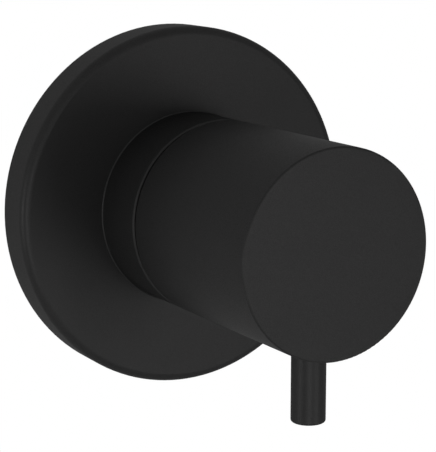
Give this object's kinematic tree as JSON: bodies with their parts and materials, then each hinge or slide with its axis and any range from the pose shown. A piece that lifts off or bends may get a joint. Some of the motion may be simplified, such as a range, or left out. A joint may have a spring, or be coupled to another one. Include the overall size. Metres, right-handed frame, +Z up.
{
  "type": "concealed stop valve",
  "caption": "Concealed quarter-turn stop valve: round wall plate, sleeve and round knob with a pin lever, on a brass body in the wall with threaded ports.",
  "frame": {"origin": "on the valve axis, at the back edge of the wall plate, which lies on the finished wall", "axes": "+Y into the wall along the valve axis, +Z up towards the outlet port; the knob stands out along -Y and its lever hangs along -Z when shut"},
  "size_m": [0.0754, 0.1318, 0.0754],
  "materials": {
    "black_coat": "matte",
    "rubber": "matte",
    "foam": "matte",
    "plastic": "satin",
    "steel": "satin",
    "brass": "satin",
    "cast_brass": "matte",
    "ceramic": "polished"
  },
  "bodies": {
    "body": {"valve_body": "cast_brass", "sleeve_carrier": "brass", "sleeve": "black_coat", "glide_ring": "plastic", "bonnet": "brass", "bonnet_o_ring": "rubber", "thrust_washer": "plastic", "fixed_disc": "ceramic", "seat_seal": "rubber"},
    "handle": {"knob": "black_coat", "pin_lever": "black_coat", "grub_screw": "steel", "handle_adapter": "brass", "adapter_screw": "steel", "spindle_extension": "brass", "spindle": "brass", "spindle_o_ring_front": "rubber", "spindle_o_ring_rear": "rubber", "circlip": "steel", "moving_disc": "ceramic"},
    "plate": {"wall_plate": "black_coat", "plate_o_ring": "rubber", "wall_gasket": "foam"}
  },
  "joints": [
    {"name": "handle_turn", "type": "hinge", "parent": "body", "child": "handle", "pos_m": [0, 0, 0], "axis": [0, -1, 0], "range_deg": [0, 90]},
    {"name": "plate_slide", "type": "slide", "parent": "body", "child": "plate", "axis": [0, -1, 0], "range_m": [0, 0.0132]}
  ]
}
